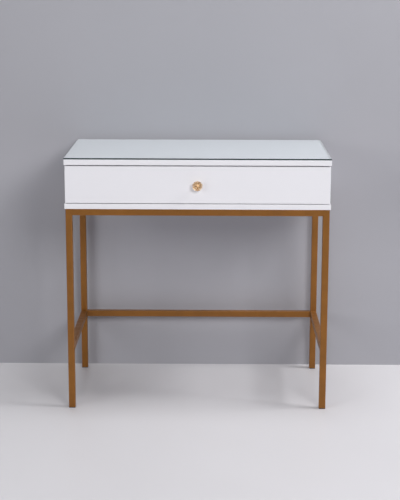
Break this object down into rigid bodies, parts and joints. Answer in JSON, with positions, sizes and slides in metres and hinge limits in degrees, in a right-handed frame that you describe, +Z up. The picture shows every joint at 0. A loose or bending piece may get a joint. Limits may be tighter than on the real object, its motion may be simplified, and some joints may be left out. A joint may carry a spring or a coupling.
{
  "type": "dressing table",
  "caption": "Slim dressing table: a white lacquered case with a full-width drawer and a glass sheet on top, on a square-tube steel frame open at the front for a stool.",
  "frame": {"origin": "on the floor, under the centre of the bounding box, whose depth counts the drawer's knob", "axes": "+X to the right as seen from the front, +Y to the back, +Z up; the drawer opens towards -Y"},
  "size_m": [0.8, 0.485, 0.78],
  "materials": {
    "white_lacquer": "satin white lacquer on board",
    "drawer_white": "matt white foil on board",
    "frame_paint": "satin brown gold paint",
    "clear_glass": "clear float glass, polished edge",
    "crystal": "clear cut crystal",
    "brass": "polished brass",
    "zinc_steel": "bright zinc plate",
    "runner_zinc": "rolled, zinc plated",
    "cast_zinc": "cast, matt",
    "ball_steel": "polished",
    "beech": "raw, fluted",
    "foot_plastic": "fine grain",
    "cage_plastic": "smooth",
    "clear_pad": "clear, soft"
  },
  "bodies": {
    "table": {"front_left_leg": "frame_paint", "front_right_leg": "frame_paint", "back_left_leg": "frame_paint", "back_right_leg": "frame_paint", "front_top_rail": "frame_paint", "back_top_rail": "frame_paint", "left_top_rail": "frame_paint", "right_top_rail": "frame_paint", "back_stretcher": "frame_paint", "left_stretcher": "frame_paint", "right_stretcher": "frame_paint", "front_left_foot": "foot_plastic", "front_right_foot": "foot_plastic", "back_left_foot": "foot_plastic", "back_right_foot": "foot_plastic", "bottom_panel": "white_lacquer", "top_panel": "white_lacquer", "left_side_panel": "white_lacquer", "right_side_panel": "white_lacquer", "back_panel": "white_lacquer", "frame_bolts": "zinc_steel", "threaded_inserts": "brass", "case_dowels": "beech", "case_cam_bolts": "zinc_steel", "case_cam_locks": "cast_zinc", "front_bumpers": "clear_pad", "glass_pads": "clear_pad", "glass_top": "clear_glass", "left_cabinet_member": "runner_zinc", "left_cabinet_member_screws": "zinc_steel", "right_cabinet_member": "runner_zinc", "right_cabinet_member_screws": "zinc_steel"},
    "drawer": {"drawer_front": "white_lacquer", "drawer_left_side": "drawer_white", "drawer_right_side": "drawer_white", "drawer_back": "drawer_white", "drawer_bottom": "drawer_white", "drawer_dowels": "beech", "drawer_cam_bolts": "zinc_steel", "drawer_cam_locks": "cast_zinc", "drawer_back_screws": "zinc_steel", "drawer_bottom_screws": "zinc_steel", "crystal_knob": "crystal", "knob_base": "brass", "knob_screw": "zinc_steel", "left_drawer_member": "runner_zinc", "left_drawer_member_screws": "zinc_steel", "right_drawer_member": "runner_zinc", "right_drawer_member_screws": "zinc_steel"},
    "left_middle": {"left_middle_member": "runner_zinc"},
    "left_outer_bearing": {"left_outer_cage": "cage_plastic", "left_outer_balls": "ball_steel"},
    "left_inner_bearing": {"left_inner_cage": "cage_plastic", "left_inner_balls": "ball_steel"},
    "right_middle": {"right_middle_member": "runner_zinc"},
    "right_outer_bearing": {"right_outer_cage": "cage_plastic", "right_outer_balls": "ball_steel"},
    "right_inner_bearing": {"right_inner_cage": "cage_plastic", "right_inner_balls": "ball_steel"}
  },
  "joints": [
    {"name": "drawer_slide", "type": "slide", "parent": "table", "child": "drawer", "axis": [0, -1, 0], "range_m": [0, 0.35]},
    {"name": "left_middle_slide", "type": "slide", "parent": "table", "child": "left_middle", "axis": [0, -1, 0], "range_m": [0, 0.175]},
    {"name": "left_outer_bearing_slide", "type": "slide", "parent": "table", "child": "left_outer_bearing", "axis": [0, -1, 0], "range_m": [0, 0.0875]},
    {"name": "left_inner_bearing_slide", "type": "slide", "parent": "table", "child": "left_inner_bearing", "axis": [0, -1, 0], "range_m": [0, 0.2625]},
    {"name": "right_middle_slide", "type": "slide", "parent": "table", "child": "right_middle", "axis": [0, -1, 0], "range_m": [0, 0.175]},
    {"name": "right_outer_bearing_slide", "type": "slide", "parent": "table", "child": "right_outer_bearing", "axis": [0, -1, 0], "range_m": [0, 0.0875]},
    {"name": "right_inner_bearing_slide", "type": "slide", "parent": "table", "child": "right_inner_bearing", "axis": [0, -1, 0], "range_m": [0, 0.2625]}
  ],
  "couplings": [
    {"joint": "left_middle_slide", "follows": "drawer_slide", "ratio": 0.5},
    {"joint": "left_outer_bearing_slide", "follows": "drawer_slide", "ratio": 0.25},
    {"joint": "left_inner_bearing_slide", "follows": "drawer_slide", "ratio": 0.75},
    {"joint": "right_middle_slide", "follows": "drawer_slide", "ratio": 0.5},
    {"joint": "right_outer_bearing_slide", "follows": "drawer_slide", "ratio": 0.25},
    {"joint": "right_inner_bearing_slide", "follows": "drawer_slide", "ratio": 0.75}
  ]
}
